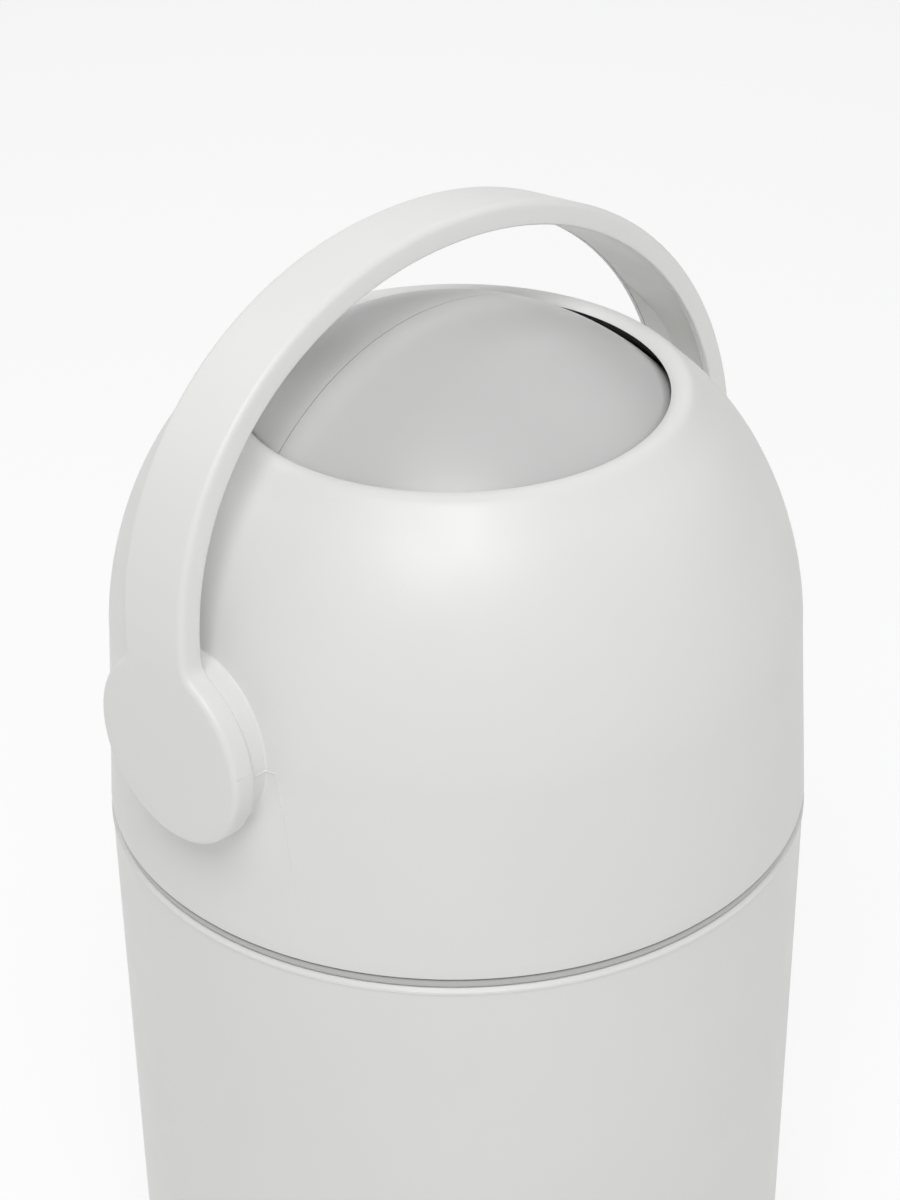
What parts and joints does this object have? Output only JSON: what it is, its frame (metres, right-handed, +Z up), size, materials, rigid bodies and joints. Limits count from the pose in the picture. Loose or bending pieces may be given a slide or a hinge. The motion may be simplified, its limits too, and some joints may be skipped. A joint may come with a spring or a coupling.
{
  "type": "nappy bin",
  "caption": "Free-standing nappy bin: round bucket, hinged dome lid, and a ball rotor with a sliding piston that a flip-over arched handle turns to drop each nappy inside.",
  "frame": {"origin": "on the floor under the middle of the bucket", "axes": "+Z up; X along the axis that the handle turns about; -Y the front, +Y the back where the lid is hinged"},
  "size_m": [0.2964, 0.2806, 0.5287],
  "materials": {
    "shell_white": "satin moulded off-white",
    "rotor_grey": "satin moulded light grey",
    "ring_grey": "satin mid grey",
    "seal_dark": "matt soft rubber",
    "nylon": "plain natural nylon",
    "steel": "zinc plated"
  },
  "bodies": {
    "base": {"bucket": "shell_white", "bag_ring": "ring_grey", "hinge_bracket": "ring_grey", "bracket_screws": "steel", "hinge_pin": "steel"},
    "lid": {"dome": "shell_white", "lid_plate": "shell_white", "plate_screws_set": "steel", "rim_seal": "seal_dark", "wiper_seal": "seal_dark", "lid_gasket": "seal_dark", "bush_left": "nylon", "bush_right": "nylon", "hinge_leaf": "ring_grey", "leaf_screws": "steel"},
    "rotor": {"rotor_front": "rotor_grey", "rotor_back": "rotor_grey", "rotor_screws": "steel", "axle_left": "nylon", "axle_right": "nylon", "thrust_washers": "steel", "handle": "shell_white", "handle_cover": "shell_white", "handle_screws": "steel"},
    "piston": {"piston_cup": "ring_grey", "piston_cap": "ring_grey", "piston_weight": "steel", "piston_wipers": "seal_dark"}
  },
  "joints": [
    {"name": "lid_open", "type": "hinge", "parent": "base", "child": "lid", "pos_m": [0, 0.134, 0.2945], "axis": [-1, 0, 0], "range_deg": [0, 95]},
    {"name": "handle_turn", "type": "hinge", "parent": "lid", "child": "rotor", "pos_m": [0, 0, 0.368], "axis": [1, 0, 0], "range_deg": [-83.4, 96.6]},
    {"name": "piston_slide", "type": "slide", "parent": "rotor", "child": "piston", "axis": [0, -0.9934, 0.1149], "range_m": [0, 0.139]}
  ]
}
